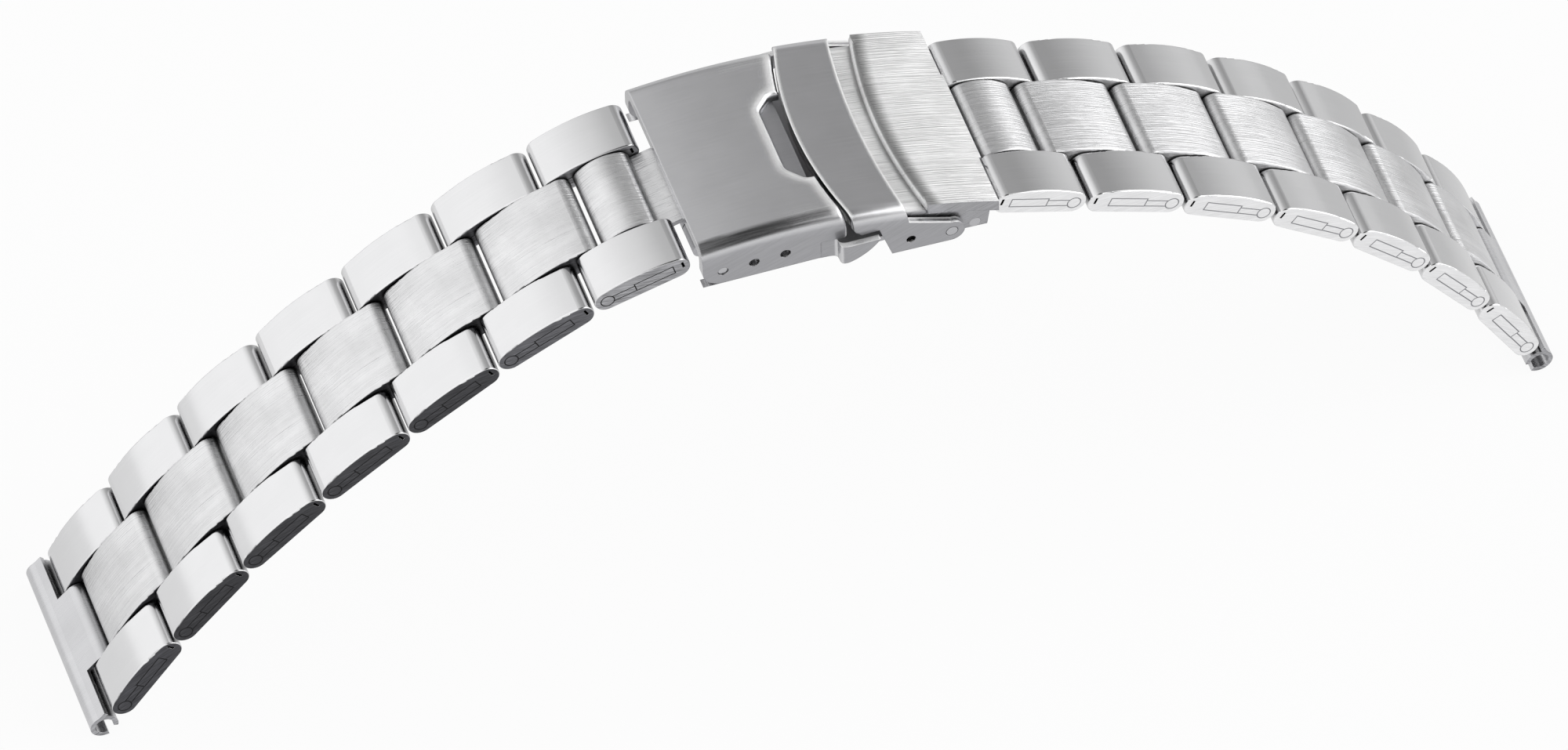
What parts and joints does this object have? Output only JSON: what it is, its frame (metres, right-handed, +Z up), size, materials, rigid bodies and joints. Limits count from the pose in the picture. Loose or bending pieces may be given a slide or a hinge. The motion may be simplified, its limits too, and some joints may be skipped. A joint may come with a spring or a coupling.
{
  "type": "folded-link watch bracelet",
  "caption": "Three-row steel link watch bracelet in an arch, with a folding clasp, a safety bow over it and rolled spring-bar tubes at both ends.",
  "frame": {"origin": "on the ground under the middle of the arch, halfway between the two spring-bar tubes it stands on", "axes": "+X along the band from the adjustable half to the other half, +Y across the band, +Z up"},
  "size_m": [0.1332, 0.0222, 0.0466],
  "materials": {
    "polished_links": "polished",
    "brushed_links": "brushed along the band",
    "clasp_satin": "fine satin",
    "end_part_brushed": "brushed along the band",
    "inner_steel": "plain rolled",
    "pin_steel": "turned"
  },
  "bodies": {
    "cover": {"clasp_cover": "clasp_satin", "hinge_bracket": "inner_steel", "cover_hinge_pin": "pin_steel", "adjust_bar_tube": "pin_steel", "adjust_bar_tips": "pin_steel"},
    "upper_blade": {"upper_blade": "inner_steel", "blade_hinge_pin": "pin_steel"},
    "lower_blade": {"lower_blade": "inner_steel", "end_part": "end_part_brushed", "bow_rivets": "pin_steel", "end_link_pin": "pin_steel"},
    "safety_bow": {"safety_bow": "clasp_satin"},
    "adjust_link_1": {"adjust_link_1_outers": "polished_links", "adjust_link_1_centre": "brushed_links", "adjust_link_1_core": "inner_steel", "adjust_connector": "inner_steel"},
    "adjust_link_2": {"adjust_link_2_outers": "polished_links", "adjust_link_2_centre": "brushed_links", "adjust_link_2_core": "inner_steel"},
    "adjust_link_3": {"adjust_link_3_outers": "polished_links", "adjust_link_3_centre": "brushed_links", "adjust_link_3_core": "inner_steel"},
    "adjust_link_4": {"adjust_link_4_outers": "polished_links", "adjust_link_4_centre": "brushed_links", "adjust_link_4_core": "inner_steel"},
    "adjust_link_5": {"adjust_link_5_outers": "polished_links", "adjust_link_5_centre": "brushed_links", "adjust_link_5_core": "inner_steel"},
    "adjust_link_6": {"adjust_link_6_outers": "polished_links", "adjust_link_6_centre": "brushed_links", "adjust_link_6_core": "inner_steel"},
    "adjust_link_7": {"adjust_link_7_outers": "polished_links", "adjust_link_7_centre": "brushed_links", "adjust_link_7_core": "inner_steel"},
    "adjust_end": {"adjust_end_piece": "end_part_brushed"},
    "blade_link_1": {"blade_link_1_outers": "polished_links", "blade_link_1_centre": "brushed_links", "blade_link_1_core": "inner_steel", "blade_connector": "inner_steel"},
    "blade_link_2": {"blade_link_2_outers": "polished_links", "blade_link_2_centre": "brushed_links", "blade_link_2_core": "inner_steel"},
    "blade_link_3": {"blade_link_3_outers": "polished_links", "blade_link_3_centre": "brushed_links", "blade_link_3_core": "inner_steel"},
    "blade_link_4": {"blade_link_4_outers": "polished_links", "blade_link_4_centre": "brushed_links", "blade_link_4_core": "inner_steel"},
    "blade_link_5": {"blade_link_5_outers": "polished_links", "blade_link_5_centre": "brushed_links", "blade_link_5_core": "inner_steel"},
    "blade_link_6": {"blade_link_6_outers": "polished_links", "blade_link_6_centre": "brushed_links", "blade_link_6_core": "inner_steel"},
    "blade_link_7": {"blade_link_7_outers": "polished_links", "blade_link_7_centre": "brushed_links", "blade_link_7_core": "inner_steel"},
    "blade_end": {"blade_end_piece": "end_part_brushed"}
  },
  "joints": [
    {"name": "cover_hinge", "type": "hinge", "parent": "cover", "child": "upper_blade", "pos_m": [-0.00248, 0, 0.04294], "axis": [0, -1, 0], "range_deg": [0, 165]},
    {"name": "blade_hinge", "type": "hinge", "parent": "upper_blade", "child": "lower_blade", "pos_m": [-0.01169, 0, 0.04103], "axis": [0, -1, 0], "range_deg": [-165, 0]},
    {"name": "bow_hinge", "type": "hinge", "parent": "lower_blade", "child": "safety_bow", "pos_m": [0.00875, 0, 0.04182], "axis": [0, -1, 0], "range_deg": [-100, 0]},
    {"name": "adjust_joint_1", "type": "hinge", "parent": "cover", "child": "adjust_link_1", "pos_m": [-0.01151, 0, 0.04334], "axis": [0, -1, 0], "range_deg": [-3, 25]},
    {"name": "adjust_joint_2", "type": "hinge", "parent": "adjust_link_1", "child": "adjust_link_2", "pos_m": [-0.02134, 0, 0.04187], "axis": [0, -1, 0], "range_deg": [-23.7, 20.3]},
    {"name": "adjust_joint_3", "type": "hinge", "parent": "adjust_link_2", "child": "adjust_link_3", "pos_m": [-0.02974, 0, 0.03712], "axis": [0, -1, 0], "range_deg": [-17.7, 26.3]},
    {"name": "adjust_joint_4", "type": "hinge", "parent": "adjust_link_3", "child": "adjust_link_4", "pos_m": [-0.03763, 0, 0.03157], "axis": [0, -1, 0], "range_deg": [-15.5, 28.5]},
    {"name": "adjust_joint_5", "type": "hinge", "parent": "adjust_link_4", "child": "adjust_link_5", "pos_m": [-0.04517, 0, 0.02554], "axis": [0, -1, 0], "range_deg": [-17.5, 26.5]},
    {"name": "adjust_joint_6", "type": "hinge", "parent": "adjust_link_5", "child": "adjust_link_6", "pos_m": [-0.05209, 0, 0.01881], "axis": [0, -1, 0], "range_deg": [-18.5, 25.5]},
    {"name": "adjust_joint_7", "type": "hinge", "parent": "adjust_link_6", "child": "adjust_link_7", "pos_m": [-0.0582, 0, 0.01135], "axis": [0, -1, 0], "range_deg": [-17.5, 26.5]},
    {"name": "adjust_end_joint", "type": "hinge", "parent": "adjust_link_7", "child": "adjust_end", "pos_m": [-0.06358, 0, 0.00333], "axis": [0, -1, 0], "range_deg": [-5, 39]},
    {"name": "blade_joint_1", "type": "hinge", "parent": "lower_blade", "child": "blade_link_1", "pos_m": [0.01115, 0, 0.04109], "axis": [0, -1, 0], "range_deg": [-25, 3]},
    {"name": "blade_joint_2", "type": "hinge", "parent": "blade_link_1", "child": "blade_link_2", "pos_m": [0.02038, 0, 0.03942], "axis": [0, -1, 0], "range_deg": [-30, 14]},
    {"name": "blade_joint_3", "type": "hinge", "parent": "blade_link_2", "child": "blade_link_3", "pos_m": [0.0294, 0, 0.03599], "axis": [0, -1, 0], "range_deg": [-25.5, 18.5]},
    {"name": "blade_joint_4", "type": "hinge", "parent": "blade_link_3", "child": "blade_link_4", "pos_m": [0.03797, 0, 0.03156], "axis": [0, -1, 0], "range_deg": [-24, 20]},
    {"name": "blade_joint_5", "type": "hinge", "parent": "blade_link_4", "child": "blade_link_5", "pos_m": [0.04585, 0, 0.02598], "axis": [0, -1, 0], "range_deg": [-24, 20]},
    {"name": "blade_joint_6", "type": "hinge", "parent": "blade_link_5", "child": "blade_link_6", "pos_m": [0.05287, 0, 0.01935], "axis": [0, -1, 0], "range_deg": [-24, 20]},
    {"name": "blade_joint_7", "type": "hinge", "parent": "blade_link_6", "child": "blade_link_7", "pos_m": [0.0589, 0, 0.01182], "axis": [0, -1, 0], "range_deg": [-25.5, 18.5]},
    {"name": "blade_end_joint", "type": "hinge", "parent": "blade_link_7", "child": "blade_end", "pos_m": [0.06403, 0, 0.00365], "axis": [0, -1, 0], "range_deg": [-29, 15]}
  ],
  "couplings": [
    {"joint": "blade_hinge", "follows": "cover_hinge", "ratio": -1}
  ]
}
